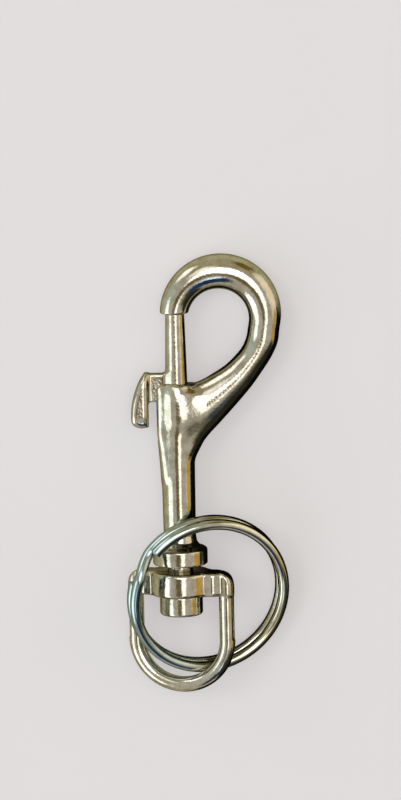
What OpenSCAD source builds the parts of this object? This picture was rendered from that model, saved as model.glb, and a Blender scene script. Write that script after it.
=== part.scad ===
// Swivel-eye bolt snap with a split key ring: a die-cast, nickel-plated snap hook whose thumb bolt
// slides down the barrel to open the loop. All sizes in millimetres.
// The shapes are drawn about the barrel's own axis: y = 0 is about the middle of the eye's opening and
// y runs up the barrel to the hook. lay() then lays the finished snap on the table.

/* [Shown node] */

/* [Hook loop] */
// X of the centre of the loop's outer edge
loop_x = 8.2; // [7:0.1:10]
// Y of the centre of the loop's outer edge
loop_y = 58.8; // [56:0.1:62]
// Radius of the loop's outer edge
loop_r = 10.9; // [10:0.1:12]
// X of the centre of the loop's opening
opening_x = 7.8; // [7.3:0.1:8.4]
// Y of the centre of the loop's opening
opening_y = 57.9; // [57:0.1:58.8]
// Radius of the loop's opening
opening_r = 5.5; // [4.5:0.1:6]
// Y of the flat face at the hook's tip, which the bolt closes on
tip_y = 59.1; // [58.9:0.1:60]
// Half thickness of the tip across the loop's plane
tip_half = 2.35; // [2:0.05:2.8]
// Half thickness of the loop across its plane
loop_half = 2.8; // [2.4:0.05:3.1]
// Half thickness of the root where it runs into the barrel
root_half = 2.75; // [2.4:0.05:2.85]

/* [Barrel] */
// Radius of the barrel at its open top
barrel_top_r = 3.15; // [3:0.05:3.4]
// Radius of the barrel just above the collar
barrel_low_r = 2.92; // [2.8:0.02:3.1]
// Y of the barrel's flat top, where the bolt comes out
barrel_top = 46.3; // [46:0.1:47]
// Y where the barrel begins to widen to the collar
barrel_low = 18.6; // [17.5:0.1:20]
// Y of the bottom of the blind bore that holds the spring
bore_low = 18.0; // [17.2:0.1:20]
// Radius of the blind bore
bore_r = 2.12; // [2.08:0.02:2.24]
// Radius of the collar over the swivel
collar_r = 4.95; // [4.4:0.05:5.2]
// Y of the collar's lower face
collar_low = 13.3; // [13:0.1:14]
// Y of the collar's upper rim
collar_top = 16.3; // [15.5:0.1:17]

/* [Thumb slot] */
// Width of the slot
slot_w = 2.6; // [2.3:0.1:2.9]
// Y of the slot's lower end
slot_low = 35.7; // [35.2:0.1:37]
// Width of the raised rim round the slot
rim_w = 4.7; // [4.2:0.1:5.2]
// Y of the raised rim's lower end
rim_low = 34.7; // [33.8:0.1:34.8]
// How far the rim stands out from the axis
rim_out = 3.75; // [3.5:0.05:4.1]

/* [Shank and button] */
// Radius of the shank that the eye turns on
shank_r = 2.3; // [2:0.05:2.6]
// Radius of the button that holds the eye on
button_r = 3.9; // [3.6:0.05:4.4]
// Y of the button's lower face
button_low = 4.0; // [3.6:0.1:5]

/* [Bolt] */
// Radius of the bolt at its end
bolt_tip_r = 1.7; // [1.5:0.05:1.85]
// Radius of the bolt where it leaves the barrel
bolt_r = 2.0; // [1.9:0.02:2.02]
// Running clearance round the bolt inside the bore
bolt_clear = 0.05; // [0.03:0.01:0.08]
// Y of the bolt's lower end
bolt_low = 33.0; // [31:0.1:34]
// Gap left between the bolt's end and the hook's tip
tip_gap = 0.03; // [0.02:0.01:0.06]
// Y of the top of the thumb lever
lever_top = 48.2; // [47.8:0.1:49]
// Y of the lower edge of the arm that runs through the slot
arm_low = 43.1; // [42.6:0.1:44]
// Thickness of the arm that runs through the slot
arm_w = 2.3; // [2:0.1:2.5]
// X of the finger piece's inner face, left of the axis
finger_in = 5.1; // [4.6:0.1:5.6]
// X of the finger piece's outermost point, left of the axis
finger_out = 8.27; // [7.6:0.05:9]
// Y of the finger piece's lower end
finger_low = 38.3; // [37.6:0.1:39.2]
// Half width of the finger piece
finger_half = 2.15; // [1.8:0.05:2.5]

/* [Spring] */
// Mean radius of the spring's coils
coil_r = 1.45; // [1.3:0.05:1.6]
// Radius of the spring's wire
spring_wire_r = 0.22; // [0.18:0.01:0.26]
// Number of coils
coils = 9; // [7:1:12]

/* [Swivel eye] */
// Distance of each leg from the axis
leg_x = 8.55; // [8.2:0.05:9]
// Radius of the legs and of the round bottom
leg_r = 1.42; // [1.3:0.02:1.6]
// Y of the centre of the round bottom
eye_y = -0.5; // [-1:0.1:0.4]
// Radius of the boss that the shank passes through
boss_r = 5.4; // [5:0.05:5.7]
// Y of the boss's lower face
boss_low = 7.65; // [7.4:0.05:8.2]
// Y of the boss's upper face
boss_top = 12.05; // [11.6:0.05:12.6]
// Running clearance round the shank
swivel_clear = 0.05; // [0.03:0.01:0.09]
// End play between the boss and the button
swivel_play = 0.05; // [0.03:0.01:0.1]
// Radius of the shoulders' outer corners
shoulder_r = 3.0; // [2.4:0.1:3.6]
// Half thickness of the shoulders where they meet the boss
shoulder_half = 2.4; // [2:0.1:2.8]
// How far the eye is turned about the axis as it lies, in degrees
eye_turn = 16; // [13:1:19]

/* [Split ring] */
// Mean radius of the ring
ring_r = 13.95; // [13:0.05:14.6]
// Radius of the ring's wire
ring_wire_r = 1.02; // [0.9:0.01:1.03]
// Distance between the ring's two turns
ring_pitch = 2.09; // [2.08:0.01:2.12]
// X of the stretch of the ring that lies inside the eye
hold_x = -3.45; // [-3.5:0.01:-3.4]
// Y of the stretch of the ring that lies inside the eye
hold_y = -3.39; // [-3.42:0.01:-3.3]
// Height of the stretch of the ring that lies inside the eye
hold_z = 0.95; // [0.92:0.01:0.98]
// How far the ring is raised at the barrel's side, in degrees
ring_raise = 12; // [12:0.1:12.5]
// How far the ring is raised over the eye's left leg, in degrees
ring_roll = 15.8; // [15.6:0.1:16]
// Angle on the ring where the front turn ends
ring_end = 140; // [120:5:160]

/* [Hidden] */
// steps round every true circle when drawn
fine = 96;
nickel = "#c9c4b4";
// how far round the ring one turn takes to cross to the other
ring_cross = 25;
ring_turns_deg = 692;
// where round the ring the held stretch is, and how far the ring reaches from there across the barrel
hold_at = 235;
reach = ring_r * (1 - sin(hold_at));
// what the ring's far side lies over: the barrel, or the collar where the ring is small
over = hold_y + reach * cos(ring_raise) < collar_top + 3.2 ? collar_r + 0.4 : barrel_low_r;
ring_rest = 1.24;
rest_raise = asin((over + ring_pitch / 2 + ring_wire_r + ring_rest - hold_z) / reach);
usual_r = 1.6316 * leg_x;
raise_now = max(ring_raise, rest_raise, ring_raise + 1.4 * (ring_r - usual_r));
hold_up = 0.08 * max(0, ring_r - usual_r);
// a larger ring leans less, so that its low side stays on the table
roll_now = asin(sin(ring_roll) * min(1, sqrt(usual_r / ring_r)));
// how far in from the loop's far end it touches the table, and the tilt that brings it down there
// while the boss's upper rim rests on the table
touch_in = 3;
lie = atan((boss_r - loop_half) / (loop_y + loop_r - touch_in - boss_top));
// the ring's reach to each side, from its centre and its lean
ring_mid_x = hold_x - ring_r * (cos(roll_now) * cos(hold_at) + sin(roll_now) * sin(raise_now) * sin(hold_at));
ring_side = ring_r * sqrt(pow(cos(roll_now), 2) + pow(sin(roll_now) * sin(raise_now), 2))
    + ring_wire_r + ring_pitch / 2 * sin(roll_now) * cos(raise_now);
part_right = max(loop_x + loop_r, ring_mid_x + ring_side);
part_left = min(-leg_x * cos(eye_turn) - leg_r, ring_mid_x - ring_side);
part_far = loop_y + loop_r;
part_near = eye_y - leg_x - leg_r;
table = -boss_top * sin(lie) - boss_r * cos(lie);

// signed power, for rounded-square sections
function spow(v, e) = sign(v) * pow(abs(v), e);
// a closed section: centre c, half axes u and v, exponent e (1 is an ellipse), n points
function section(c, u, v, n, e = 1) =
    [for (i = [0:n - 1]) c + u * spow(cos(360 * i / n), e) + v * spow(sin(360 * i / n), e)];
function mix(a, b, t) = a + (b - a) * t;
function smooth(t) = t * t * (3 - 2 * t);
// a smooth curve through a list of values or points, at t from 0 to len - 1
function at(list, i) = list[max(0, min(len(list) - 1, i))];
function spline(list, t) =
    let (i = min(len(list) - 2, floor(t)), f = t - i,
         a = at(list, i - 1), b = at(list, i), c = at(list, i + 1), d = at(list, i + 2))
    0.5 * (2 * b + (c - a) * f + (2 * a - 5 * b + 4 * c - d) * f * f
           + (3 * b - a - 3 * c + d) * f * f * f);

// a solid skinned over a row of sections that all have the same number of points
module skin(rows) {
    n = len(rows[0]);
    m = len(rows);
    points = [for (r = rows) for (p = r) p];
    sides = [for (i = [0:m - 2]) for (j = [0:n - 1]) let (k = (j + 1) % n)
        each [[i * n + j, i * n + k, (i + 1) * n + k], [i * n + j, (i + 1) * n + k, (i + 1) * n + j]]];
    first = [[for (j = [0:n - 1]) n - 1 - j]];
    last = [[for (j = [0:n - 1]) (m - 1) * n + j]];
    polyhedron(points = points, faces = concat(sides, first, last), convexity = 6);
}

// turns a shape drawn up the z axis so that it stands along y
module along_y() { rotate([-90, 0, 0]) children(); }

// lays the finished snap on the table, with the origin under the middle of its box
module lay() {
    translate([-(part_right + part_left) / 2, -(part_far + part_near) / 2 * cos(lie), -table])
        rotate([-lie, 0, 0]) children();
}

// the loop's edges: round to the tip, then measured points down to the root, which leaves the round
// this far below the loop's middle
root_from = 14;
tip_in = 180 - asin((tip_y - opening_y) / opening_r);
tip_out = 180 - asin((tip_y - loop_y) / loop_r);
function edge_in(a) = [opening_x + opening_r * cos(a), opening_y + opening_r * sin(a), 0];
function edge_out(a) = [loop_x + loop_r * cos(a), loop_y + loop_r * sin(a), 0];
// the root's two edges from the loop down into the barrel, as shares of the way from the barrel's
// top on the axis to the edge's own end on the loop
in_shares = [[0.97, 0.79], [0.91, 0.62], [0.82, 0.48], [0.68, 0.31], [0.51, 0.17], [0.34, 0.05],
    [0.14, -0.05], [-0.04, -0.22], [-0.08, -0.5]];
out_shares = [[0.98, 0.73], [0.92, 0.47], [0.83, 0.21], [0.72, -0.08], [0.57, -0.41], [0.42, -0.72],
    [0.27, -1.03], [0.18, -1.33], [0.11, -1.50]];
function root_edge(end, shares) =
    [for (s = shares) [s[0] * end[0], barrel_top + s[1] * (end[1] - barrel_top), 0]];
root_in = concat([edge_in(0), edge_in(-root_from)], root_edge(edge_in(-root_from), in_shares));
root_out = concat([edge_out(0), edge_out(-root_from)], root_edge(edge_out(-root_from), out_shares));
function hook_row(inner, outer, half) =
    section((inner + outer) / 2, (inner - outer) / 2, [0, 0, half], 24);
hook_rows = concat(
    [for (i = [0:9]) let (t = i / 10)
        hook_row(edge_in(mix(tip_in, 90, t)), edge_out(mix(tip_out, 90, t)),
                 mix(tip_half, loop_half, smooth(t)))],
    [for (i = [0:7]) hook_row(edge_in(90 - 90 * i / 8), edge_out(90 - 90 * i / 8), loop_half)],
    [for (i = [0:20]) let (t = i / 2)
        hook_row(spline(root_in, t), spline(root_out, t),
                 t < 8 ? mix(loop_half, root_half, t / 8) : mix(root_half, 2.2, (t - 8) / 2))]);

// barrel, collar, shank and button as one turned outline
module turned_body() {
    along_y() rotate_extrude($fn = fine) polygon([
        [0, button_low], [button_r - 0.35, button_low], [button_r, button_low + 0.35],
        [button_r, boss_low - swivel_play], [shank_r, boss_low - swivel_play],
        [shank_r, collar_low], [collar_r - 0.2, collar_low], [collar_r, collar_low + 0.2],
        [collar_r, collar_top - 0.3], [collar_r - 0.3, collar_top],
        [barrel_low_r + 0.75, collar_top + 0.35], [barrel_low_r + 0.2, collar_top + 1.1],
        [barrel_low_r, barrel_low], [barrel_top_r, barrel_top - 0.15],
        [barrel_top_r - 0.15, barrel_top], [0, barrel_top]]);
}

// the raised rim round the slot, before the slot is cut
module slot_rim() {
    translate([-rim_out, 0, 0]) rotate([0, 90, 0]) linear_extrude(rim_out) union() {
        translate([-rim_w / 2, rim_low + rim_w / 2])
            square([rim_w, barrel_top - 0.1 - rim_low - rim_w / 2]);
        translate([0, rim_low + rim_w / 2]) circle(d = rim_w, $fn = fine);
    }
}

module slot_cut() {
    translate([-rim_out - 1, 0, 0]) rotate([0, 90, 0]) linear_extrude(rim_out + 1) union() {
        translate([-slot_w / 2, slot_low + slot_w / 2])
            square([slot_w, barrel_top + 1 - slot_low - slot_w / 2]);
        translate([0, slot_low + slot_w / 2]) circle(d = slot_w, $fn = fine);
    }
}

module hook_body() {
    color(nickel) lay() difference() {
        union() {
            turned_body();
            slot_rim();
            skin(hook_rows);
        }
        translate([0, bore_low, 0]) along_y() cylinder(r = bore_r, h = barrel_top - bore_low + 1, $fn = fine);
        slot_cut();
    }
}

// the finger piece: y, share of its reach outward, share of its half width
finger_rows = [[lever_top, 0.14, 0.66], [lever_top - 0.25, 0.25, 0.84], [lever_top - 0.7, 0.36, 0.94],
    [lever_top - 1.85, 0.58, 1], [lever_top - 3.8, 0.81, 1], [lever_top - 5.7, 0.955, 1],
    [lever_top - 7.6, 1, 1], [finger_low + 1.1, 0.95, 0.94], [finger_low + 0.45, 0.78, 0.84],
    [finger_low, 0.5, 0.62]];

module bolt() {
    color(nickel) lay() union() {
        along_y() rotate_extrude($fn = fine) polygon([
            [0, bolt_low], [bore_r - bolt_clear - 0.3, bolt_low], [bore_r - bolt_clear, bolt_low + 0.3],
            [bore_r - bolt_clear, barrel_top - 0.8], [min(bolt_r, bore_r - bolt_clear), barrel_top - 0.5],
            [bolt_tip_r, tip_y - tip_gap - 0.15], [bolt_tip_r - 0.15, tip_y - tip_gap],
            [0, tip_y - tip_gap]]);
        // arm, with a small slope above it against the bolt
        translate([0, 0, -arm_w / 2]) linear_extrude(arm_w) polygon([
            [-bolt_r * 0.5, lever_top + 1.1], [-bolt_r - 0.1, lever_top + 0.5],
            [-bolt_r - 0.8, lever_top], [-finger_in - 0.4, lever_top - 0.2],
            [-finger_in - 0.4, arm_low + 0.5], [-finger_in + 0.4, arm_low], [-bolt_r * 0.5, arm_low]]);
        skin([for (r = finger_rows) let (reach = (finger_out - finger_in) * r[1])
            section([-finger_in - reach / 2, r[0], 0], [-reach / 2, 0, 0],
                    [0, 0, finger_half * r[2]], 20, 0.72)]);
    }
}

module bolt_spring() {
    low = bore_low + spring_wire_r + 0.05;
    high = bolt_low - spring_wire_r - 0.05;
    steps = coils * 18;
    color("#8d8d8a") lay() skin([for (i = [0:steps]) let (a = 20 * i, y = mix(low, high, i / steps))
        section([coil_r * cos(a), y, coil_r * sin(a)],
                [spring_wire_r * cos(a), 0, spring_wire_r * sin(a)], [0, spring_wire_r, 0], 8)]);
}

module shoulder() {
    intersection() {
        translate([0, 0, -4]) linear_extrude(8) union() {
            translate([0, boss_low]) square([leg_x + leg_r - shoulder_r, boss_top - boss_low]);
            translate([leg_x + leg_r - 2 * shoulder_r, boss_low])
                square([2 * shoulder_r, boss_top - boss_low - shoulder_r]);
            translate([leg_x + leg_r - shoulder_r, boss_top - shoulder_r])
                circle(r = shoulder_r, $fn = fine);
        }
        translate([0, boss_low, 0]) along_y() linear_extrude(boss_top - boss_low) union() {
            polygon([[3, shoulder_half + 0.3], [3, -shoulder_half - 0.3], [leg_x, -leg_r], [leg_x, leg_r]]);
            translate([leg_x, 0]) circle(r = leg_r, $fn = fine);
        }
    }
}

module swivel_eye() {
    color(nickel) lay() rotate([0, -eye_turn, 0]) difference() {
        union() {
            along_y() rotate_extrude($fn = fine) polygon([
                [0, boss_low], [boss_r - 0.35, boss_low], [boss_r, boss_low + 0.35],
                [boss_r, boss_top - 0.35], [boss_r - 0.35, boss_top], [0, boss_top]]);
            for (s = [0, 180]) rotate([0, s, 0]) {
                shoulder();
                translate([leg_x, eye_y, 0]) along_y()
                    cylinder(r = leg_r, h = boss_top - shoulder_r - eye_y, $fn = fine);
            }
            translate([0, eye_y, 0]) rotate([0, 0, 180])
                rotate_extrude(angle = 180, $fn = fine) translate([leg_x, 0]) circle(r = leg_r, $fn = fine);
        }
        translate([0, boss_low - 1, 0]) along_y()
            cylinder(r = shank_r + swivel_clear, h = boss_top - boss_low + 2, $fn = fine);
    }
}

// height of the ring's wire at angle a from its lower end: rear turn, crossing, front turn
function ring_h(a) = let (c = 720 + ring_end - ring_turns_deg, s = 360 + ring_end - c)
    -ring_pitch / 2 + ring_pitch * smooth(max(0, min(1, (a - s) / ring_cross)));

module split_ring() {
    steps = 108;
    color(nickel) lay() translate([hold_x, hold_y + hold_up, hold_z]) rotate([raise_now, roll_now, 0])
        translate(-ring_r * [cos(hold_at), sin(hold_at), 0])
        skin([for (i = [0:steps]) let (a = ring_turns_deg * i / steps,
                                       b = a + 720 + ring_end - ring_turns_deg)
            section([ring_r * cos(b), ring_r * sin(b), ring_h(a)],
                    [ring_wire_r * cos(b), ring_wire_r * sin(b), 0], [0, 0, ring_wire_r], 14)]);
}

hook_body();
bolt();
bolt_spring();
swivel_eye();
split_ring();
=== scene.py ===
"""A bolt snap with a swivel eye and a split key ring, lying on a pale table, in bright nickel.

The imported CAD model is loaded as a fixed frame. The castings are then skinned afresh as smooth
surfaces with the fillets that a die leaves, because a plated casting shows every crease in its
reflections, and the ring and the spring are swept as round wire. All shapes are worked out in
millimetres about the snap's own axis (y runs up the barrel to the hook) and laid on the table last.
"""

from __future__ import annotations

import logging
import math
from dataclasses import dataclass, field
from enum import Enum
from typing import Callable, NamedTuple

import bpy
import numpy as np
from mathutils import Matrix, Vector

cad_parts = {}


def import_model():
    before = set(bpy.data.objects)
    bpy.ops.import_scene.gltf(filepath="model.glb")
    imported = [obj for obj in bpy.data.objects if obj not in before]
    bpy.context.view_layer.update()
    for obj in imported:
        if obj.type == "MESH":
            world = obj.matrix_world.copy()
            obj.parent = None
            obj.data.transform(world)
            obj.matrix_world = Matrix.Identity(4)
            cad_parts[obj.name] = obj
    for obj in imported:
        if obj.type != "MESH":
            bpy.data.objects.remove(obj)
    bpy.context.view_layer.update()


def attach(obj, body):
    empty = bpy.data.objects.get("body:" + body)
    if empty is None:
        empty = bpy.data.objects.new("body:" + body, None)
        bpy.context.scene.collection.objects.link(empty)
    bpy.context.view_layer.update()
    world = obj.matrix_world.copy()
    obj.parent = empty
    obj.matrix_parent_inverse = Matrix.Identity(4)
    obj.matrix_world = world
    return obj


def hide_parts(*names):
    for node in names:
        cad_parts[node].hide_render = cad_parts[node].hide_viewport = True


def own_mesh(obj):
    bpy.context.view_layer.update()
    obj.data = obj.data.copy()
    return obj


log = logging.getLogger("snap")
Array = np.ndarray
Field = Callable[[Array, Array, Array], Array]
Socket = bpy.types.NodeSocket
Object = bpy.types.Object
Material = bpy.types.Material
Shaded = Material | bpy.types.World
Pair = tuple[float, float]
Triple = tuple[float, float, float]
MM = 0.001


class Body(Enum):
    """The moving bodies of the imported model."""

    BODY = "body"
    BOLT = "thumb_bolt"
    EYE = "eye"
    RING = "ring"


# Sizes and placing


@dataclass(frozen=True)
class Sizes:
    """The snap's main sizes in millimetres, as the CAD model has them."""

    loop_x: float = 8.2
    loop_y: float = 58.8
    loop_r: float = 10.9
    opening_x: float = 7.8
    opening_y: float = 57.9
    opening_r: float = 5.5
    tip_y: float = 59.1
    tip_half: float = 2.35
    loop_half: float = 2.8
    loop_rest: float = 3.0
    barrel_top_r: float = 3.15
    barrel_low_r: float = 2.92
    barrel_top: float = 46.3
    barrel_low: float = 18.6
    bore_low: float = 18.0
    bore_r: float = 2.12
    collar_r: float = 4.95
    collar_low: float = 13.3
    collar_top: float = 16.3
    slot_w: float = 2.6
    slot_low: float = 35.7
    rim_w: float = 4.7
    rim_low: float = 34.7
    rim_out: float = 3.75
    shank_r: float = 2.3
    button_r: float = 3.9
    button_low: float = 4.0
    bolt_tip_r: float = 1.7
    bolt_r: float = 2.0
    bolt_clear: float = 0.05
    bolt_low: float = 33.0
    tip_gap: float = 0.03
    lever_top: float = 48.2
    arm_low: float = 43.1
    arm_w: float = 2.3
    finger_in: float = 5.1
    finger_out: float = 8.27
    finger_low: float = 38.3
    finger_half: float = 2.15
    coil_r: float = 1.45
    spring_wire_r: float = 0.22
    coils: float = 9.0
    leg_x: float = 8.55
    leg_r: float = 1.42
    eye_y: float = -0.5
    boss_r: float = 5.4
    boss_low: float = 7.65
    boss_top: float = 12.05
    swivel_clear: float = 0.05
    swivel_play: float = 0.05
    shoulder_r: float = 3.0
    shoulder_half: float = 2.4
    eye_turn: float = 16.0
    ring_r: float = 13.95
    ring_wire_r: float = 1.02
    ring_pitch: float = 2.09
    hold: Triple = (-3.45, -3.39, 0.95)
    hold_at: float = 235.0
    ring_raise: float = 12.0
    ring_roll: float = 15.8
    ring_end: float = 140.0
    ring_cross: float = 25.0
    ring_turns: float = 692.0


def rotation(axis: str, degrees: float) -> Array:
    """A 3 by 3 rotation about one axis.

    Args:
        axis: "x", "y" or "z".
        degrees: The angle, by the right-hand rule.

    Returns:
        The matrix, for column vectors.
    """
    return np.array(Matrix.Rotation(math.radians(degrees), 3, axis.upper()))


@dataclass(frozen=True)
class Lay:
    """How the snap lies: the loop's underside and the boss's upper rim touch the table.

    The slope is atan((boss radius - loop half thickness) / their distance), and the origin is the
    middle of the whole box at the table.
    """

    s: Sizes

    @property
    def slope(self) -> float:
        """The barrel's slope down to the hook, in degrees."""
        s = self.s
        run = s.loop_y + s.loop_r - s.loop_rest - s.boss_top
        return math.degrees(math.atan((s.boss_r - s.loop_half) / run))

    @property
    def ring_turn(self) -> Array:
        """The key ring's tilt in the snap's frame."""
        return rotation("y", self.s.ring_roll) @ rotation("x", self.s.ring_raise)

    @property
    def ring_middle(self) -> Array:
        """The key ring's centre, set back from the stretch of it that lies inside the eye."""
        a = math.radians(self.s.hold_at)
        return np.array(self.s.hold) - self.s.ring_r * self.ring_turn @ [math.cos(a), math.sin(a), 0.0]

    @property
    def turn(self) -> Array:
        """The rotation from the snap's own frame to the table's."""
        return rotation("x", -self.slope)

    @property
    def shift(self) -> Array:
        """The move that follows the rotation, in millimetres."""
        s, a = self.s, math.radians(self.slope)
        tilt = self.ring_turn
        turns = s.ring_wire_r + s.ring_pitch / 2 * tilt[0, 2]
        side = s.ring_r * math.hypot(tilt[0, 0], tilt[0, 1]) + turns
        right = max(s.loop_x + s.loop_r, self.ring_middle[0] + side)
        left = min(-s.leg_x * math.cos(math.radians(s.eye_turn)) - s.leg_r, self.ring_middle[0] - side)
        far, near = s.loop_y + s.loop_r, s.eye_y - s.leg_x - s.leg_r
        table = -s.boss_top * math.sin(a) - s.boss_r * math.cos(a)
        return np.array([-(right + left) / 2, -(far + near) / 2 * math.cos(a), -table])

    def place(self, points: Array) -> Array:
        """Points in the snap's own frame, laid on the table, in metres."""
        return (points @ self.turn.T + self.shift) * MM


# Distance fields


def eased(t: Array) -> Array:
    """A smooth step that leaves 0 at 0 and reaches 1 at 1: t squared times (3 - 2t), held outside.

    Args:
        t: The value.

    Returns:
        The step.
    """
    t = np.clip(t, 0.0, 1.0)
    return t * t * (3 - 2 * t)


def soft_min(a: Array, b: Array, k: float) -> Array:
    """The union of two distance fields with a fillet.

    Formula: where the two differ by less than k, the smaller one minus a parabola that is k/4 deep
    where they are equal.

    Args:
        a: One field.
        b: The other field.
        k: The fillet's reach in millimetres.

    Returns:
        The blended field.
    """
    h = np.clip(0.5 + 0.5 * (b - a) / k, 0.0, 1.0)
    return b + (a - b) * h - k * h * (1.0 - h)


def soft_max(a: Array, b: Array, k: float) -> Array:
    """The intersection of two distance fields, with an edge rounded over k millimetres."""
    return -soft_min(-a, -b, k)


def distance_to_path(x: Array, y: Array, path: Array) -> tuple[Array, Array]:
    """Distance from points to an open path in the plane, and the side that they lie on.

    Formula: each point is projected on every segment, the projection is held to the segment's ends,
    and the nearest one counts; the side is the sign of the segment's cross product with the offset.

    Args:
        x: Points' first coordinate, any shape.
        y: Points' second coordinate.
        path: N by 2 points along the path.

    Returns:
        The distance, and +1 on the left of the path or -1 on its right.
    """
    chunk = 8192  # points at a time, which keeps the tables of offsets small
    flat = np.stack([x.ravel(), y.ravel()], 1)
    a, d = path[:-1], np.diff(path, axis=0)
    length2 = (d * d).sum(1)
    best, side = np.empty(len(flat)), np.empty(len(flat))
    for start in range(0, len(flat), chunk):
        part = slice(start, start + chunk)
        p = flat[part, None, :] - a[None]
        t = np.clip((p * d).sum(2) / length2, 0.0, 1.0)
        off = p - t[..., None] * d
        dist2 = (off * off).sum(2)
        k = dist2.argmin(1)
        rows = np.arange(len(k))
        best[part] = np.sqrt(dist2[rows, k])
        q = off[rows, k]
        # a point on the path itself counts as on its left
        side[part] = np.sign(d[k, 0] * q[:, 1] - d[k, 1] * q[:, 0] + 1e-12)
    return best.reshape(x.shape), side.reshape(x.shape)


def distance_to_outline(x: Array, y: Array, outline: Array) -> Array:
    """Signed distance to a closed outline, negative inside.

    Formula: the distance to the nearest edge, with the sign of an even-odd crossing count.

    Args:
        x: Points' first coordinate.
        y: Points' second coordinate.
        outline: N by 2 corners.

    Returns:
        The signed distance.
    """
    closed = np.vstack([outline, outline[:1]])
    dist, _ = distance_to_path(x, y, closed)
    inside = np.zeros(x.shape, bool)
    for (x0, y0), (x1, y1) in zip(closed[:-1], closed[1:]):
        if y0 != y1:
            hit = (y0 > y) != (y1 > y)
            inside ^= hit & (x < (x1 - x0) * (y - y0) / (y1 - y0) + x0)
    return np.where(inside, -dist, dist)


class PlaneTable:
    """A function of the plane kept on a square grid and read as a smooth sheet over it."""

    def __init__(self, func: Callable[[Array, Array], Array], low: Pair, high: Pair, step: float,
                 blur: float) -> None:
        """Fills the grid, and softens it with a bell of the given width.

        Args:
            func: The function to keep.
            low: The grid's lowest corner in millimetres.
            high: Its highest corner.
            step: The grid's pitch.
            blur: The bell's standard deviation in millimetres, which rounds sharp corners.
        """
        self.low, self.step = low, step
        xs = np.arange(low[0], high[0] + step, step)
        ys = np.arange(low[1], high[1] + step, step)
        values = func(*np.meshgrid(xs, ys, indexing="ij"))
        reach = int(3 * blur / step) + 1
        bell = np.exp(-0.5 * (np.arange(-reach, reach + 1) * step / blur) ** 2)
        bell /= bell.sum()
        for axis in (0, 1):
            pad = [(reach, reach) if axis == a else (0, 0) for a in (0, 1)]
            wide = np.pad(values, pad, mode="reflect", reflect_type="odd")
            n = values.shape[axis]
            values = sum(w * np.take(wide, np.arange(i, i + n), axis) for i, w in enumerate(bell))
        self.values = values

    def __call__(self, x: Array, y: Array) -> Array:
        """Reads the table at points.

        Formula: a uniform cubic B-spline over four values each way, whose slope and bend are both
        continuous, so that a mirror finish shows no trace of the grid.

        Args:
            x: First coordinate, any shape.
            y: Second coordinate.

        Returns:
            The interpolated values.
        """
        grid = []
        for v, low, n in zip((x, y), self.low, self.values.shape):
            u = np.clip((v - low) / self.step, 1.0, n - 2.001)
            i = np.floor(u).astype(int)
            f = u - i
            grid.append((i, ((1 - f) ** 3 / 6, (3 * f**3 - 6 * f**2 + 4) / 6,
                             (-3 * f**3 + 3 * f**2 + 3 * f + 1) / 6, f**3 / 6)))
        (i, wx), (j, wy) = grid
        return sum(wx[a] * wy[b] * self.values[i + a - 1, j + b - 1] for a in range(4) for b in range(4))


def spline(points: list, per: int) -> Array:
    """A smooth path through points, by Catmull-Rom cubics with the end points repeated.

    Args:
        points: The points to pass through.
        per: Samples for each stretch.

    Returns:
        The sampled path, ending on the last point.
    """
    p = np.asarray(points, float)
    p = np.vstack([p[:1], p, p[-1:]])
    f = (np.arange(per) / per)[None, :, None]
    a, b, c, d = (p[k : len(p) - 3 + k][:, None] for k in range(4))
    body = 0.5 * (2 * b + (c - a) * f + (2 * a - 5 * b + 4 * c - d) * f**2 + (3 * b - a - 3 * c + d) * f**3)
    return np.vstack([body.reshape(-1, p.shape[1]), p[-1:]])


def stadium(u: Array, v: Array, half: float, low: float, high: float) -> Array:
    """Signed distance to a slot shape along v: round at its low end, square at its high end."""
    round_end = np.hypot(u, np.minimum(v - (low + half), 0.0)) - half
    return np.maximum(round_end, v - high)


# Meshes


CORNERS = np.array([[x, y, z] for x in (0, 1) for y in (0, 1) for z in (0, 1)])
EDGES = [(a, b) for a in range(8) for b in range(a + 1, 8) if np.abs(CORNERS[a] - CORNERS[b]).sum() == 1]


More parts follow.
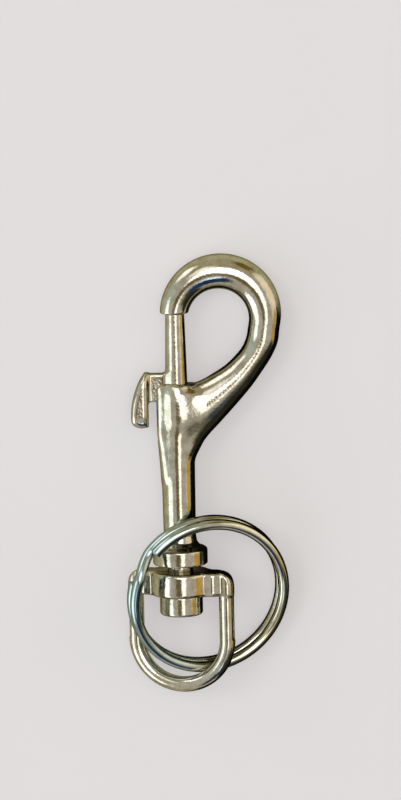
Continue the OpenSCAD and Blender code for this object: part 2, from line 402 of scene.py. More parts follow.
def net_over(shape: Field, low: Triple, high: Triple, step: float) -> tuple[Array, Array, Array]:
    """A mesh over the zero surface of a distance field.

    Formula: every grid cell that the surface passes through gets one point, the mean of its edge
    crossings, and every grid edge that the surface cuts gets a quad between its four cells. The
    points are then moved onto the surface along the field's slope, three times over.

    Args:
        shape: The distance field, negative inside.
        low: Lowest corner of the region, in millimetres.
        high: Its highest corner.
        step: Grid pitch.

    Returns:
        Points, quads and a unit normal for each point.
    """
    low = np.asarray(low, float)
    n = np.ceil((np.asarray(high) - low) / step).astype(int) + 1
    axes = [start + step * np.arange(k) for start, k in zip(low, n)]
    grid = shape(*np.meshgrid(*axes, indexing="ij", sparse=True))
    grid = np.broadcast_to(grid, n).astype(np.float32)
    solid = grid < 0
    m = n - 1
    count = sum(
        solid[tuple(slice(c[k], c[k] + m[k]) for k in range(3))].astype(np.int8) for c in CORNERS)
    active = (count > 0) & (count < 8)
    index = np.full(m, -1)
    index[active] = np.arange(active.sum())
    cells = np.argwhere(active)
    total, hits = np.zeros((len(cells), 3)), np.zeros(len(cells))
    for a, b in EDGES:
        fa, fb = (grid[tuple((cells + CORNERS[k]).T)] for k in (a, b))
        cut = (fa < 0) != (fb < 0)
        t = (fa[cut] / (fa[cut] - fb[cut]))[:, None]
        total[cut] += CORNERS[a] + t * (CORNERS[b] - CORNERS[a])
        hits[cut] += 1
    points = low + step * (cells + total / hits[:, None])
    quads, ways = [], np.eye(3, dtype=int)
    for axis in range(3):
        u, v = [k for k in range(3) if k != axis]
        change = np.diff(solid.astype(np.int8), axis=axis)
        for flip, into in ((False, -1), (True, 1)):
            at = np.argwhere(change == into)
            at = at[(at[:, u] > 0) & (at[:, v] > 0) & (at[:, u] < m[u]) & (at[:, v] < m[v])]
            ring = (at - du * ways[u] - dv * ways[v] for du, dv in ((1, 1), (0, 1), (0, 0), (1, 0)))
            quad = np.stack([index[tuple(cell.T)] for cell in ring], 1)
            quads.append(quad[:, ::-1] if flip != (axis == 1) else quad)
    normals, reach, least, furthest = points, 0.02, 0.05, 0.3 * step
    for _ in range(3):
        value, normals = shape(*points.T), np.empty_like(points)
        for k, way in enumerate(reach * ways):
            normals[:, k] = (shape(*(points + way).T) - shape(*(points - way).T)) / (2 * reach)
        steep = np.maximum((normals**2).sum(1), least)
        step_out = np.clip(value / steep, -furthest, furthest)
        points = points - normals * step_out[:, None]
    normals /= np.linalg.norm(normals, axis=1)[:, None]
    return points, np.vstack(quads), normals


def sweep(path: Array, radius: Array, sides: int) -> tuple[Array, Array]:
    """Round wire along an open path, closed with a point at each end.

    Formula: at each path point the section's axes are the way out from the path's middle, made
    square to the path, and the path's direction crossed with it; the section is a circle there.

    Args:
        path: N by 3 points.
        radius: N radii, which fall to nearly nothing at the ends to round them.
        sides: Points round the wire.

    Returns:
        Points and quads. Each end's last ring is drawn together by its small radius.
    """
    along = np.gradient(path, axis=0)
    along /= np.linalg.norm(along, axis=1)[:, None]
    out = path - path.mean(0)
    out -= (out * along).sum(1)[:, None] * along
    out /= np.linalg.norm(out, axis=1)[:, None]
    up = np.cross(along, out)
    angle = (2 * np.pi * np.arange(sides) / sides)[:, None]
    circle = out[:, None] * np.cos(angle) + up[:, None] * np.sin(angle)
    points = (path[:, None] + circle * radius[:, None, None]).reshape(-1, 3)
    i, j = np.meshgrid(np.arange(len(path) - 1), np.arange(sides), indexing="ij")
    k = (j + 1) % sides
    quads = np.stack([i * sides + j, (i + 1) * sides + j, (i + 1) * sides + k, i * sides + k], -1)
    return points, quads.reshape(-1, 4)


def add_mesh(name: str, points: Array, faces: Array, normals: Array | None = None) -> Object:
    """Makes a smooth-shaded object at the origin from arrays.

    Args:
        name: The object's name.
        points: N by 3 points in metres.
        faces: M by 4 point numbers.
        normals: N by 3 unit normals worked out from the surface itself, or None.

    Returns:
        The new object.
    """
    mesh = bpy.data.meshes.new(name)
    mesh.vertices.add(len(points))
    mesh.vertices.foreach_set("co", np.ascontiguousarray(points, np.float32).ravel())
    mesh.loops.add(faces.size)
    mesh.loops.foreach_set("vertex_index", np.ascontiguousarray(faces, np.int32).ravel())
    mesh.polygons.add(len(faces))
    mesh.polygons.foreach_set("loop_start", np.arange(0, faces.size, faces.shape[1], dtype=np.int32))
    mesh.update(calc_edges=True)
    mesh.validate()
    mesh.shade_smooth()
    if normals is not None:
        mesh.normals_split_custom_set_from_vertices(normals)
    obj = bpy.data.objects.new(name, mesh)
    bpy.context.scene.collection.objects.link(obj)
    return obj


# Finishes


def srgb(code: str) -> tuple[float, float, float, float]:
    """An sRGB hex colour as the linear values that the shader takes.

    Args:
        code: Six hex digits after a hash.

    Returns:
        Linear red, green and blue with an alpha of 1.
    """
    channels = [int(code[i : i + 2], 16) / 255.0 for i in (1, 3, 5)]
    return (*(c / 12.92 if c <= 0.04045 else ((c + 0.055) / 1.055) ** 2.4 for c in channels), 1.0)


def add_node(mat: Shaded, kind: str, links: dict | None = None, settings: dict | None = None,
             **values: object) -> bpy.types.Node:
    """Adds one node with its links, settings and input values.

    Args:
        mat: The material, or the world.
        kind: The node's type name, less the ShaderNode that it starts with.
        links: Input socket to the output socket that feeds it.
        settings: Attributes of the node itself.
        **values: Input values, with spaces in a socket's name written as underscores.

    Returns:
        The new node.
    """
    node = mat.node_tree.nodes.new("ShaderNode" + kind)
    for key, value in (settings or {}).items():
        setattr(node, key, value)
    for key, value in values.items():
        node.inputs[key.replace("_", " ")].default_value = value
    for key, socket in (links or {}).items():
        mat.node_tree.links.new(socket, node.inputs[key])
    return node


def bare_material(name: str) -> tuple[Material, Socket]:
    """A material with nothing in its tree but the Object coordinates, in metres.

    Args:
        name: The material's name.

    Returns:
        The material and the socket that gives the coordinates.
    """
    mat = bpy.data.materials.new(name)
    mat.use_nodes = True
    mat.node_tree.nodes.clear()
    return mat, add_node(mat, "TexCoord").outputs["Object"]


def noise(mat: Material, where: Socket, scale: float, **values: float) -> Socket:
    """A noise field.

    Args:
        mat: The material.
        where: The coordinates.
        scale: Its features to the metre.
        **values: The node's other inputs.

    Returns:
        The field, from 0 to 1.
    """
    return add_node(mat, "TexNoise", {"Vector": where}, Scale=scale, **values).outputs["Fac"]


def soft_step(mat: Shaded, value: Socket, begins: float, full: float) -> Socket:
    """A smooth step of a value.

    Args:
        mat: The material, or the world.
        value: The value.
        begins: The value at which the step leaves 0.
        full: The value at which it reaches 1, which may be the smaller one.

    Returns:
        The step.
    """
    step = add_node(mat, "MapRange", {"Value": value}, {"interpolation_type": "SMOOTHSTEP"},
                    From_Min=begins, From_Max=full)
    return step.outputs["Result"]


def mix_colours(mat: Shaded, share: object, first: object, second: object, blend: str = "MIX") -> Socket:
    """Mixes two colours, each as linear values or a socket.

    Args:
        mat: The material, or the world.
        share: The second colour's share, as a number or a socket.
        first: The first colour.
        second: The second colour.
        blend: How the second is laid over the first.

    Returns:
        The mixed colour.
    """
    node = add_node(mat, "Mix", {}, {"data_type": "RGBA", "blend_type": blend})
    factor_at, first_at, second_at, result_at = 0, 6, 7, 2  # the node's sockets for colours
    for at, value in ((factor_at, share), (first_at, first), (second_at, second)):
        if isinstance(value, Socket):
            mat.node_tree.links.new(value, node.inputs[at])
        else:
            node.inputs[at].default_value = value
    return node.outputs[result_at]


@dataclass(frozen=True)
class BrightNickel:
    """Bright nickel plate over a polished zinc die casting, or over steel wire.

    The plate is a warm yellowish grey mirror. What the eye sees on it is the polish under it: broad
    shallow waves a few millimetres long, a faint haze in patches, and fine rubbing marks. Depths and
    lengths are in millimetres, and the haze and marks are counted to the metre.
    """

    name: str
    light: str = "#dbd6c9"
    dark: str = "#c2bba8"
    edge: str = "#8f8b80"
    rough: Pair = (0.05, 0.12)
    wave_mm: float = 3.2
    wave_depth: float = 0.010
    haze_scale: float = 520.0
    tone_span: Pair = (0.36, 0.60)
    gloss_span: Pair = (0.35, 0.70)
    mark_scale: Triple = (6500.0, 700.0, 6500.0)
    mark_depth: float = 0.0012
    grain_mm: float = 0.42
    grain_depth: float = 0.017
    # painted reflection tint: two hex colours for the table's left and right, and the span across it in
    # metres
    painted_reflection_tint: tuple[str, str] | None = None
    painted_reflection_span: Pair = (-0.013, 0.010)

    def build(self) -> Material:
        """Makes the material.

        Returns:
            The material, reading Object coordinates in metres.
        """
        mat, where = bare_material(self.name)
        # waves left by polishing, a few millimetres from crest to crest
        waves = noise(mat, where, 1.0 / (self.wave_mm * MM), Detail=2.0, Roughness=0.45)
        # patches of haze about 2 mm across
        haze = noise(mat, where, self.haze_scale, Detail=5.0, Roughness=0.6)
        # the grain of the casting, which the thin plate follows: dimples under half a millimetre across
        grain = noise(mat, where, 1.0 / (self.grain_mm * MM), Detail=3.0)
        # rubbing marks: noise drawn out along the barrel, about 0.15 mm apart
        drawn = add_node(mat, "Mapping", {"Vector": where}, Scale=self.mark_scale)
        marks = noise(mat, drawn.outputs["Vector"], 1.0, Detail=2.0)
        tone = add_node(mat, "ValToRGB", {"Fac": haze})
        for stop, place, code in zip(tone.color_ramp.elements, self.tone_span, (self.dark, self.light)):
            stop.position, stop.color = place, srgb(code)
        colour = tone.outputs["Color"]
        if self.painted_reflection_tint:
            # painted reflection: a tint, blue on the left of the table and straw on the right, multiplied in
            across = add_node(mat, "SeparateXYZ", {"Vector": where}).outputs["X"]
            share = soft_step(mat, across, *self.painted_reflection_span)
            tint = mix_colours(mat, share, *(srgb(code) for code in self.painted_reflection_tint))
            colour = mix_colours(mat, 1.0, colour, tint, "MULTIPLY")
        gloss = add_node(mat, "MapRange", {"Value": haze},
                         From_Min=self.gloss_span[0], From_Max=self.gloss_span[1],
                         To_Min=self.rough[0], To_Max=self.rough[1])
        bumps: dict[str, Socket] = {}
        for height, depth in ((waves, self.wave_depth), (grain, self.grain_depth), (marks, self.mark_depth)):
            bump = add_node(mat, "Bump", {"Height": height, **bumps},
                            Strength=1.0, Distance=depth * MM)
            bumps = {"Normal": bump.outputs["Normal"]}
        shader = add_node(mat, "BsdfPrincipled",
                          {"Base Color": colour, "Roughness": gloss.outputs["Result"], **bumps},
                          Metallic=1.0, Specular_Tint=srgb(self.edge))
        add_node(mat, "OutputMaterial", {"Surface": shader.outputs["BSDF"]})
        return mat


@dataclass(frozen=True)
class SpringSteel:
    """Drawn spring wire, left bare: a dull grey with a fine grain."""

    name: str = "drawn_spring_steel"
    colour: str = "#8f8d88"
    rough: Pair = (0.25, 0.5)
    grain_scale: float = 3000.0

    def build(self) -> Material:
        """Makes the material.

        Returns:
            The material, reading Object coordinates in metres.
        """
        mat, where = bare_material(self.name)
        # a grain of a third of a millimetre, which breaks up the gloss
        grain = noise(mat, where, self.grain_scale, Detail=4.0)
        gloss = add_node(mat, "MapRange", {"Value": grain},
                         To_Min=self.rough[0], To_Max=self.rough[1])
        shader = add_node(mat, "BsdfPrincipled", {"Roughness": gloss.outputs["Result"]},
                          Base_Color=srgb(self.colour), Metallic=1.0)
        add_node(mat, "OutputMaterial", {"Surface": shader.outputs["BSDF"]})
        return mat


# The pieces


@dataclass
class Piece:
    """A piece of the snap: its sizes, how it lies and its finish."""

    s: Sizes
    lay: Lay

    def dress(self, obj: Object, mat: Material, body: Body, node: str, slot: str) -> None:
        """Gives a finished piece its material and its body, and hides the CAD node that it stands for.

        Args:
            obj: The piece.
            mat: Its finish.
            body: The body that it rides on.
            node: The CAD node that it replaces.
            slot: Not used.
        """
        obj.data.materials.append(mat)
        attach(obj, body.value)
        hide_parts(node)
        log.info("%s: %d faces, rides on %s", obj.name, len(obj.data.polygons), body.value)

    def skin(self, name: str, shape: Field, low: Triple, high: Triple, step: float,
             turn: Array = np.eye(3)) -> Object:
        """Meshes a distance field and lays it on the table.

        Args:
            name: The object's name.
            shape: The field, in the piece's own frame.
            low: Lowest corner of the region to mesh.
            high: Its highest corner.
            step: The mesh's pitch in millimetres.
            turn: The piece's rotation in the snap's frame.

        Returns:
            The object.
        """
        under = 0.004  # millimetres under size, so that the box stays inside the CAD model's
        points, quads, normals = net_over(lambda x, y, z: shape(x, y, z) + under, low, high, step)
        return add_mesh(name, self.lay.place(points @ turn.T), quads, normals @ turn.T @ self.lay.turn.T)


@dataclass
class HookCasting(Piece):
    """The hook, barrel, collar, shank and button: one zinc casting.

    Beside the shares that shape the root, its values are the fillets and run-outs that a die leaves,
    in millimetres.
    """

    step: float = 0.19
    root_fillet: float = 3.0
    low_fillet: float = 0.7
    fillet_low: float = 36.0
    fillet_rise: float = 5.0
    fillet_over: float = 0.6
    fillet_fall: float = 2.6
    rim_fillet: float = 0.7
    rim_run: float = 7.0
    rim_edge: float = 1.5
    sink: float = 0.35
    sink_x: float = 5.0
    sink_y: float = 48.0
    sink_run: float = 3.0
    loop_low: float = 49.0
    tip_side: float = 4.2
    tip_edge: float = 0.3
    past_axis: float = 0.3
    slot_in: float = 0.2
    slot_edge: float = 0.22
    bore_edge: float = 0.15
    cut_top: float = 52.0
    arc_end: float = -14.0
    tip_lead: float = 3.0
    root_lead: float = 6.0
    in_shares: tuple = ((0.97, 0.79), (0.91, 0.62), (0.82, 0.48), (0.68, 0.31), (0.51, 0.17),
                        (0.34, 0.05), (0.14, -0.05), (-0.04, -0.22), (-0.08, -0.5))
    out_shares: tuple = ((0.98, 0.73), (0.92, 0.47), (0.83, 0.21), (0.72, -0.08), (0.57, -0.41),
                         (0.42, -0.72), (0.27, -1.03), (0.18, -1.33), (0.11, -1.50))
    tables: dict[str, PlaneTable] = field(default_factory=dict)

    def edge(self, centre: Pair, radius: float, shares: tuple) -> Array:
        """One edge of the loop, from below the tip, round the top and down the root.

        Formula: an arc about the centre from the tip's angle to arc_end, then a smooth path through
        the root's points, with a straight run-out at both ends.

        Args:
            centre: The arc's centre.
            radius: Its radius.
            shares: The root's points, as shares of the way from the barrel's top to the arc's end.

        Returns:
            The sampled edge.
        """
        s, samples, per = self.s, 420, 24
        start = 180.0 - math.degrees(math.asin((s.tip_y - centre[1]) / radius))
        angle = np.radians(np.linspace(start, self.arc_end, samples))
        arc = centre + radius * np.stack([np.cos(angle), np.sin(angle)], 1)
        side, end = (centre[0] + radius, centre[1]), arc[-1]
        root = [[a * end[0], s.barrel_top + b * (end[1] - s.barrel_top)] for a, b in shares]
        low = spline([side, end] + root, per)[per + 1 :]
        out = low[-1] - low[-4]
        tail = low[-1] + out / np.linalg.norm(out) * self.root_lead
        below = arc[:1] - [[0.0, self.tip_lead]]
        return np.vstack([below, arc, low, tail])

    def prepare(self) -> None:
        """Keeps the loop's two edges, positive on the metal's side, and the turned outline as tables."""
        s = self.s
        inner = self.edge((s.opening_x, s.opening_y), s.opening_r, self.in_shares)
        outer = self.edge((s.loop_x, s.loop_y), s.loop_r, self.out_shares)
        for name, path, metal in (("inner", inner, 1.0), ("outer", outer, -1.0)):
            self.tables[name] = PlaneTable(
                lambda x, y: metal * np.multiply(*distance_to_path(x, y, path)),
                low=(-5.0, 26.0), high=(21.5, 72.0), step=0.2, blur=0.3)
        inside, bevel, ease, neck = -9.0, 0.3, 0.15, s.boss_low - s.swivel_play
        # the cove over the collar, out and up from its corner, and the mouth's rolled lip, in and down
        cove = ((0.75, 0.35), (0.2, 1.1))
        lip = ((0.0, 1.5), (0.06, 0.9), (0.20, 0.35), (0.36, 0.08), (0.55, 0.0))
        turned = np.array([
            [inside, s.button_low], [s.button_r - bevel, s.button_low],
            [s.button_r, s.button_low + bevel], [s.button_r, neck],
            [s.shank_r, neck], [s.shank_r, s.collar_low],
            [s.collar_r - ease, s.collar_low], [s.collar_r, s.collar_low + ease],
            [s.collar_r, s.collar_top - bevel], [s.collar_r - bevel, s.collar_top],
            *[[s.barrel_low_r + a, s.collar_top + b] for a, b in cove], [s.barrel_low_r, s.barrel_low],
            *[[s.barrel_top_r - a, s.barrel_top - b] for a, b in lip], [inside, s.barrel_top]])
        self.tables["turned"] = PlaneTable(
            lambda r, y: distance_to_outline(r, y, turned),
            low=(-0.4, 2.5), high=(9.0, 72.0), step=0.08, blur=0.1)

    def loop(self, x: Array, y: Array, z: Array) -> Array:
        """Distance to the loop and its root.

        Formula: the two edges' signed distances give the half width (their mean) and the offset from
        the middle (half their difference); with the half thickness these make an ellipse, whose
        distance is k0 (k0 - 1) / k1, k0 being the scaled radius and k1 its slope.

        Args:
            x, y, z: Across the barrel, along it and up from it.

        Returns:
            The distance, negative inside.
        """
        s = self.s
        inner, outer = self.tables["inner"](x, y), self.tables["outer"](x, y)
        least_half, core, core_depth = 0.5, 0.3, 0.7
        w = np.maximum((inner + outer) / 2, least_half)
        c = (inner - outer) / 2
        # the loop thickens from the tip over its first quarter turn, and its root lies a little lower
        angle = np.degrees(np.arctan2(y - s.opening_y, s.opening_x - x))
        rise = np.where((x > s.opening_x) | (y < s.opening_y), 1.0, eased(angle / 90.0))
        t = s.tip_half + (s.loop_half - s.tip_half) * rise
        t = t - self.sink * eased((self.sink_x - x) / self.sink_x) * eased((self.sink_y - y) / self.sink_run)
        k0 = np.sqrt((c / w) ** 2 + (z / t) ** 2)
        k1 = np.maximum(np.sqrt((c / w**2) ** 2 + (z / t**2) ** 2), 1e-6)
        d = np.where(k0 < core, -core_depth * np.minimum(w, t), k0 * (k0 - 1.0) / k1)
        tip = (x < self.tip_side) & (y > self.loop_low)
        d = np.where(tip, soft_max(d, s.tip_y - y, self.tip_edge), d)
        return np.where(y < self.loop_low, np.maximum(d, -self.past_axis - x), d)

    def shape(self, x: Array, y: Array, z: Array) -> Array:
        """Distance to the whole casting: turned body, loop and slot rim joined, bore and slot cut.

        Args:
            x, y, z: Across the barrel, along it and up from it.

        Returns:
            The distance, negative inside.
        """
        s = self.s
        r = np.hypot(x, z)
        body = self.tables["turned"](r, y)
        rise = eased((y - self.fillet_low) / self.fillet_rise)
        fall = eased((s.barrel_top + self.fillet_over - y) / self.fillet_fall)
        fillet = self.low_fillet + (self.root_fillet - self.low_fillet) * rise * fall
        body = soft_min(body, self.loop(x, y, z), fillet)
        # the rim runs out into the barrel over the last few millimetres below the slot
        over, past = 3.0, 2.0
        rim = stadium(z, y, s.rim_w / 2, s.rim_low - self.rim_run, s.barrel_top - 0.1)
        gone = np.clip((s.rim_low + over - y) / (self.rim_run + past), 0.0, 1.0)
        rim = soft_max(rim, (s.rim_out - s.barrel_low_r) * gone - s.rim_out - x, self.rim_edge)
        body = soft_min(body, np.maximum(rim, x), self.rim_fillet)
        slot = np.maximum(stadium(z, y, s.slot_w / 2, s.slot_low, self.cut_top), x - self.slot_in)
        bore = np.maximum(r - s.bore_r, np.maximum(s.bore_low - y, y - self.cut_top))
        return soft_max(soft_max(body, -slot, self.slot_edge), -bore, self.bore_edge)

    def build(self, mat: Material) -> None:
        """Builds and dresses the casting.

        Args:
            mat: Its finish.
        """
        self.prepare()
        obj = self.skin("hook_casting", self.shape, (-5.3, 3.6, -5.3), (19.7, 70.1, 5.3), self.step)
        self.dress(obj, mat, Body.BODY, "hook_body", "nickel")


@dataclass
class ThumbBolt(Piece):
    """The round bolt, its arm through the slot and the bowed finger piece: one casting.

    The fillets, edges and laps are in millimetres.
    """

    step: float = 0.12
    rod_edge: float = 0.25
    seat: float = 0.6
    arm_in: float = 0.9
    arm_out: float = 0.6
    arm_edge: float = 0.35
    arm_fillet: float = 0.9
    finger_edge: float = 1.1
    finger_fillet: float = 0.6
    narrow: float = 0.72
    narrow_run: float = 2.2
    outline: PlaneTable | None = None

    def prepare(self) -> None:
        """Keeps the finger piece's side outline as a table."""
        s = self.s
        reach, top, low = s.finger_out - s.finger_in, s.lever_top, s.finger_low
        outer = [(0.10, top), (0.30, top - 0.35), (0.58, top - 1.85), (0.81, top - 3.8),
                 (0.955, top - 5.7), (1.0, top - 7.6), (0.96, low + 1.0), (0.74, low + 0.3), (0.42, low)]
        path = spline([(-s.finger_in - a * reach, y) for a, y in outer], 10)
        outline = np.vstack([[-s.finger_in, top], path, [-s.finger_in, low + 0.2]])
        self.outline = PlaneTable(lambda x, y: distance_to_outline(x, y, outline),
                                  low=(-11.0, 35.0), high=(3.0, 62.0), step=0.06, blur=0.12)

    def shape(self, x: Array, y: Array, z: Array) -> Array:
        """Distance to the bolt: a slightly tapered rod, its arm and its finger piece, filleted.

        Args:
            x, y, z: Across the barrel, along it and up from it.

        Returns:
            The distance, negative inside.
        """
        s = self.s
        r = np.hypot(x, z)
        share = np.clip((y - s.barrel_top) / (s.tip_y - s.barrel_top), 0.0, 1.0)
        rod_r = s.bolt_r + (s.bolt_tip_r - s.bolt_r) * share
        rod_r = np.where(y < s.barrel_top - self.seat, s.bore_r - s.bolt_clear, rod_r)
        rod = soft_max(r - rod_r, np.maximum(y - (s.tip_y - s.tip_gap), s.bolt_low - y), self.rod_edge)
        across = np.maximum(x + self.arm_in, -s.finger_in - self.arm_out - x)
        tall = np.maximum(y - s.lever_top, s.arm_low - y)
        arm = soft_max(np.maximum(across, tall), np.abs(z) - s.arm_w / 2, self.arm_edge)
        # the finger piece narrows to both ends
        end = np.clip(np.minimum(s.lever_top - y, y - s.finger_low) / self.narrow_run, 0.0, 1.0)
        half = s.finger_half * (self.narrow + (1.0 - self.narrow) * end**0.5)
        finger = soft_max(self.outline(x, y), np.abs(z) - half, self.finger_edge)
        return soft_min(soft_min(rod, arm, self.arm_fillet), finger, self.finger_fillet)

    def build(self, mat: Material) -> None:
        """Builds and dresses the bolt.

        Args:
            mat: Its finish.
        """
        self.prepare()
        obj = self.skin("thumb_bolt_casting", self.shape, (-9.0, 32.5, -2.6), (2.4, 59.6, 2.6), self.step)
        self.dress(obj, mat, Body.BOLT, "bolt", "nickel_bolt")


@dataclass
class SwivelEye(Piece):
    """The eye: boss, shoulders, legs and round bottom, one casting.

    The fillets and edges are in millimetres.
    """

    step: float = 0.15
    boss_edge: float = 0.7
    shoulder_edge: float = 0.8
    shoulder_from: float = 2.0
    shoulder_flat: float = 6.2
    shoulder_fillet: float = 0.4
    leg_edge: float = 0.6
    leg_fillet: float = 0.5
    hole_edge: float = 0.2
    hole_lead: float = 2.0

    def shape(self, x: Array, y: Array, z: Array) -> Array:
        """Distance to the eye, in its own frame before it is turned about the barrel.

        Args:
            x, y, z: Across the eye, along the barrel and through the eye.

        Returns:
            The distance, negative inside.
        """
        s = self.s
        a = np.abs(x)
        r = np.hypot(x, z)
        mid, tall = (s.boss_low + s.boss_top) / 2, (s.boss_top - s.boss_low) / 2
        boss = soft_max(r - s.boss_r, np.abs(y - mid) - tall, self.boss_edge)
        # shoulders: an outline with a round outer corner, as thick as the boss end or the leg
        cx, cy = s.leg_x + s.leg_r - s.shoulder_r, s.boss_top - s.shoulder_r
        bend = np.hypot(np.maximum(a - cx, 0.0), np.maximum(y - cy, 0.0)) - s.shoulder_r
        corner = np.maximum(bend, s.boss_low - y)
        share = eased((a - self.shoulder_flat) / (s.leg_x - self.shoulder_flat))
        thick = s.shoulder_half * (1 - share) + s.leg_r * share
        end = np.hypot(np.maximum(a - s.leg_x, 0.0), z) - s.leg_r
        plate = np.maximum(np.where(a > s.leg_x, end, np.abs(z) - thick), self.shoulder_from - a)
        shoulder = soft_max(plate, corner, self.shoulder_edge)
        # legs: straight bars over a half-round bottom
        below = np.hypot(np.hypot(x, y - s.eye_y) - s.leg_x, z) - s.leg_r
        leg = soft_max(np.hypot(a - s.leg_x, z) - s.leg_r, bend, self.leg_edge)
        wire = np.where(y < s.eye_y, below, leg)
        eye = soft_min(soft_min(boss, shoulder, self.shoulder_fillet), wire, self.leg_fillet)
        hole = np.maximum(r - s.shank_r - s.swivel_clear, s.boss_low - self.hole_lead - y)
        return soft_max(eye, -hole, self.hole_edge)

    def build(self, mat: Material) -> None:
        """Builds and dresses the eye.

        Args:
            mat: Its finish.
        """
        s = self.s
        deep, margin = 5.8, 0.5
        w = s.leg_x + s.leg_r + margin
        low, high = (-w, s.eye_y - w, -deep), (w, s.boss_top + 0.4, deep)
        obj = self.skin("swivel_eye_casting", self.shape, low, high, self.step, rotation("y", -s.eye_turn))
        self.dress(obj, mat, Body.EYE, "swivel_eye", "nickel")


@dataclass
class SplitRing(Piece):
    """The key ring: one length of round wire wound nearly twice, with a crossing between turns.

    The wire is drawn a little under size, so that its box stays inside the CAD model's, and its cut
    ends are eased. Both are in millimetres.
    """

    under: float = 0.035
    end_ease: float = 0.22
    along: int = 900
    sides: int = 36

    def build(self, mat: Material) -> None:
        """Builds and dresses the ring.

        Formula: a circle in plan; its height is the rear turn's up to the crossing, rises by one
        pitch over the crossing on a smooth step, and is the front turn's after it.

        Args:
            mat: Its finish.
        """
        s = self.s
        start = 720.0 + s.ring_end - s.ring_turns
        b = np.linspace(0.0, s.ring_turns, self.along)
        height = s.ring_pitch * (eased((b - (360.0 + s.ring_end - start)) / s.ring_cross) - 0.5)
        angle = np.radians(b + start)
        path = np.stack([s.ring_r * np.cos(angle), s.ring_r * np.sin(angle), height], 1)
        run = np.minimum(b, s.ring_turns - b) * math.pi / 180 * s.ring_r
        cut = 1 - np.clip(run / self.end_ease, 0, 1)
        radius = (s.ring_wire_r - self.under) * np.sqrt(np.clip(1 - cut**2, 0.0004, 1.0))
        points, quads = sweep(path, radius, self.sides)
        points = points @ self.lay.ring_turn.T + self.lay.ring_middle
        obj = add_mesh("split_ring_wire", self.lay.place(points), quads)
        self.dress(obj, mat, Body.RING, "split_ring", "nickel_ring")


@dataclass
class BoltSpring(Piece):
    """The spring under the bolt, inside the barrel."""

    seat: float = 0.05
    per_turn: int = 30
    sides: int = 10

    def build(self, mat: Material) -> None:
        """Builds and dresses the spring at one length; the bolt squeezes the real one as it comes down.

        Formula: a helix of the coils' mean radius about the barrel's axis.

        Args:
            mat: Its finish.
        """
        s = self.s
        low = s.bore_low + s.spring_wire_r + self.seat
        high = s.bolt_low - s.spring_wire_r - self.seat
        t = np.linspace(0.0, 1.0, int(s.coils * self.per_turn))
        a = 2 * np.pi * s.coils * t
        path = np.stack([s.coil_r * np.cos(a), low + (high - low) * t, s.coil_r * np.sin(a)], 1)
        points, quads = sweep(path, np.full(len(t), s.spring_wire_r), self.sides)
        obj = add_mesh("bolt_spring_coil", self.lay.place(points), quads)
        self.dress(obj, mat, Body.BODY, "bolt_spring", "spring_steel")
        anchor = self.lay.place(np.array([[0.0, s.bore_low + self.seat, 0.0]]))[0]
        tuple(anchor)
        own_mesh(obj)


# The studio


class Patch(NamedTuple):
    """A soft patch of the light tent: its direction, the cosines where it begins and is full, its light."""

    toward: Triple
    begins: float
    full: float
    light: Triple


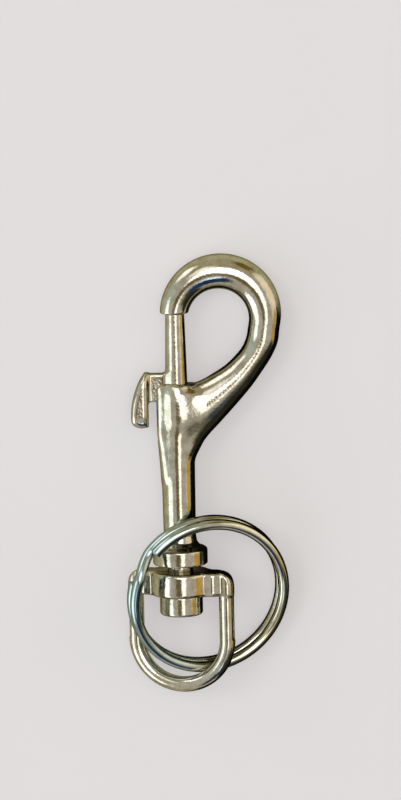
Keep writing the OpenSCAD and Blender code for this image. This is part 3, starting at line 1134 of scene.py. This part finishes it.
@dataclass(frozen=True)
class Studio:
    """A pale table, soft lamps and a long lens that looks down on the snap."""

    lay: Lay
    table: tuple[str, str] = ("#dedde3", "#e3e2e8")
    table_half: float = 0.9
    mottle_scale: float = 40.0
    # painted reflection colours that the metal mirrors in the table: pale tan, and black low on the right
    painted_reflection_pale: str = "#b9b593"
    painted_reflection_black: str = "#100f0b"
    black_x: Pair = (-0.008, 0.001)
    black_y: Pair = (0.034, 0.026)
    glow: str = "#e9e5e6"
    glow_share: float = 0.5
    lean: float = 1.3
    look: float = 9.5
    pixels: int = 800
    mm_per_pixel: float = 0.18
    aim: Pair = (4.28, 43.17)
    distance: float = 0.9
    sensor_mm: float = 36.0
    key_at: Triple = (-0.42, 0.22, 0.62)
    key_size: float = 0.22
    key_power: float = 0.9
    key_colour: str = "#fffaf2"
    overhead: Triple = (0.52, 0.49, 0.43)
    patches: tuple[Patch, ...] = (
        # low all round, then the left, the far side and the far right corner
        Patch((0.0, 0.0, 1.0), 0.35, 0.05, (0.34, 0.32, 0.25)),
        Patch((-0.95, 0.0, 0.3), 0.70, 0.90, (0.50, 0.56, 0.52)),
        Patch((0.0, 0.93, 0.36), 0.62, 0.85, (0.42, 0.38, 0.26)),
        Patch((0.53, 0.79, 0.31), 0.93, 0.98, (0.18, 0.12, 0.02)),
        # white and cream screens round the snap
        Patch((0.88, 0.29, 0.37), 0.84, 0.95, (1.05, 0.92, 0.70)),
        Patch((-0.66, 0.68, 0.31), 0.955, 0.985, (1.7, 1.7, 1.7)),
        Patch((-0.25, 0.47, 0.85), 0.970, 0.990, (1.35, 1.33, 1.28)),
        Patch((0.06, 0.17, 0.98), 0.935, 0.965, (2.6, 2.6, 2.5)),
        # a screen and a dim spot beside the camera, and two screens on the left
        Patch((0.17, -0.16, 0.972), 0.984, 0.993, (1.8, 1.78, 1.7)),
        Patch((-0.13, -0.20, 0.971), 0.972, 0.991, (0.19, 0.155, 0.085)),
        Patch((-0.80, -0.42, 0.42), 0.925, 0.965, (2.0, 2.1, 2.1)),
        Patch((-0.84, -0.10, 0.53), 0.960, 0.985, (1.6, 1.75, 1.75)),
        # the near side: olive, gold and black on the right, deep blue and one pale spot in the middle
        Patch((0.46, -0.59, 0.67), 0.950, 0.990, (0.13, 0.12, 0.08)),
        Patch((0.93, -0.22, 0.30), 0.970, 0.988, (0.62, 0.40, 0.08)),
        Patch((0.68, -0.68, 0.27), 0.89, 0.945, (0.03, 0.03, 0.02)),
        Patch((0.12, -0.73, 0.67), 0.925, 0.965, (0.02, 0.05, 0.12)),
        Patch((0.05, -0.54, 0.84), 0.993, 0.998, (1.2, 1.4, 1.7)),
    )

    def floor(self) -> None:
        """A wide flat table with the faintest mottling, at the height that the snap lies on."""
        ends = (-self.table_half, self.table_half)
        corners = np.array([[x, y, 0.0] for x in ends for y in ends])
        obj = add_mesh("table", corners, np.array([[0, 2, 3, 1]]))
        mat, where = bare_material("pale_card")
        mottle = noise(mat, where, self.mottle_scale, Detail=3.0)
        tone = mix_colours(mat, mottle, *(srgb(code) for code in self.table))
        shader = add_node(mat, "BsdfPrincipled", {"Base Color": tone}, Roughness=0.75)
        # painted reflection: what the polished metal sees of the table is a glow, painted black low on the
        # right and pale tan elsewhere
        side = add_node(mat, "SeparateXYZ", {"Vector": where})
        across = soft_step(mat, side.outputs["X"], *self.black_x)
        along = soft_step(mat, side.outputs["Y"], *self.black_y)
        share = add_node(mat, "Math", {0: across, 1: along}, {"operation": "MULTIPLY"})
        painted_reflection_tones = mix_colours(mat, share.outputs["Value"], srgb(self.painted_reflection_pale), srgb(self.painted_reflection_black))
        painted_reflection_glow = add_node(mat, "Emission", {"Color": painted_reflection_tones})
        path = add_node(mat, "LightPath")
        seen = add_node(mat, "MixShader", {
            0: path.outputs["Is Glossy Ray"], 1: shader.outputs["BSDF"], 2: painted_reflection_glow.outputs["Emission"]})
        # a backlit sheet, as the camera sees it: its own even glow, with the shadows left on top
        glow = add_node(mat, "Emission", Color=srgb(self.glow))
        lit = add_node(mat, "Math", {0: path.outputs["Is Camera Ray"]}, {"operation": "MULTIPLY"})
        lit.inputs[1].default_value = self.glow_share
        sheet = add_node(mat, "MixShader", {
            0: lit.outputs["Value"], 1: seen.outputs["Shader"], 2: glow.outputs["Emission"]})
        add_node(mat, "OutputMaterial", {"Surface": sheet.outputs["Shader"]})
        obj.data.materials.append(mat)

    def key(self) -> None:
        """One soft lamp at the upper left, which gives the shadows their side and which no metal mirrors."""
        data = bpy.data.lights.new("key", "AREA")
        data.shape, data.size, data.size_y = "RECTANGLE", self.key_size, self.key_size
        data.energy, data.color = self.key_power, srgb(self.key_colour)[:3]
        obj = bpy.data.objects.new("key", data)
        obj.location = self.key_at
        obj.visible_glossy = False
        obj.rotation_euler = (-Vector(self.key_at)).to_track_quat("-Z", "Y").to_euler()
        bpy.context.scene.collection.objects.link(obj)

    def sky(self) -> None:
        """A soft tent of light round the table, made of broad patches that melt into each other.

        Each patch is laid over those before it. Polished metal shows the tent as its shading: white at
        the left, tan overhead, gold and then black low on the right, and a dim spot beside the camera.
        """
        world = bpy.data.worlds.new("light_tent")
        world.use_nodes = True
        tree = world.node_tree
        where = add_node(world, "TexCoord").outputs["Generated"]
        colour = (*self.overhead, 1.0)
        for patch in self.patches:
            along = add_node(world, "VectorMath", {0: where}, {"operation": "DOT_PRODUCT"})
            along.inputs[1].default_value = Vector(patch.toward).normalized()
            share = soft_step(world, along.outputs["Value"], patch.begins, patch.full)
            colour = mix_colours(world, share, colour, (*patch.light, 1.0))
        tree.links.new(colour, tree.nodes["Background"].inputs["Color"])
        bpy.context.scene.world = world

    def camera(self) -> None:
        """A long lens from the hook's end of straight above, with the photograph's lean."""
        look = math.radians(self.look)
        toward = self.lay.turn @ [0.0, math.sin(look), math.cos(look)]
        target = self.lay.place(np.array([[self.aim[0], self.aim[1], 0.0]]))[0]
        back = Vector(toward).normalized()
        up = Vector(self.lay.turn @ [0.0, 1.0, 0.0])
        up = (up - up.dot(back) * back).normalized()
        up = Matrix.Rotation(math.radians(-self.lean), 3, back) @ up
        side = up.cross(back).normalized()
        data = bpy.data.cameras.new("camera")
        data.sensor_fit, data.sensor_width = "AUTO", self.sensor_mm
        data.lens = self.sensor_mm * self.distance / (self.pixels * self.mm_per_pixel * MM)
        data.clip_start, data.clip_end = 0.05, 10.0
        obj = bpy.data.objects.new("camera", data)
        rows = [[side[i], up[i], back[i], target[i] + back[i] * self.distance] for i in range(3)]
        obj.matrix_world = Matrix(rows + [[0, 0, 0, 1]])
        bpy.context.scene.collection.objects.link(obj)
        bpy.context.scene.camera = obj

    def build(self) -> None:
        """Builds the table, the tent, the lamp and the camera."""
        self.floor()
        self.sky()
        self.key()
        self.camera()
        bpy.context.scene.view_settings.view_transform = "Standard"


def main() -> None:
    """Builds the studio, then each piece in the order that the snap is put together."""
    logging.basicConfig(level=logging.INFO, format="%(name)s: %(message)s")
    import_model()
    sizes = Sizes()
    lay = Lay(sizes)
    Studio(lay).build()
    casting = BrightNickel("bright_nickel_on_zinc").build()
    # the wire's tint pair is painted reflection: blue on the left of the table, straw on the right
    wire = BrightNickel("bright_nickel_on_steel_wire", light="#eceeea", dark="#d4d7d1", rough=(0.03, 0.08),
                        wave_mm=4.5, wave_depth=0.006, grain_depth=0.003, edge="#6f88a0",
                        painted_reflection_tint=("#c4d6df", "#fdf6e4")).build()
    steel = SpringSteel().build()
    BoltSpring(sizes, lay).build(steel)
    HookCasting(sizes, lay).build(casting)
    ThumbBolt(sizes, lay).build(casting)
    SwivelEye(sizes, lay).build(casting)
    SplitRing(sizes, lay).build(wire)


if __name__ == "__main__":
    main()
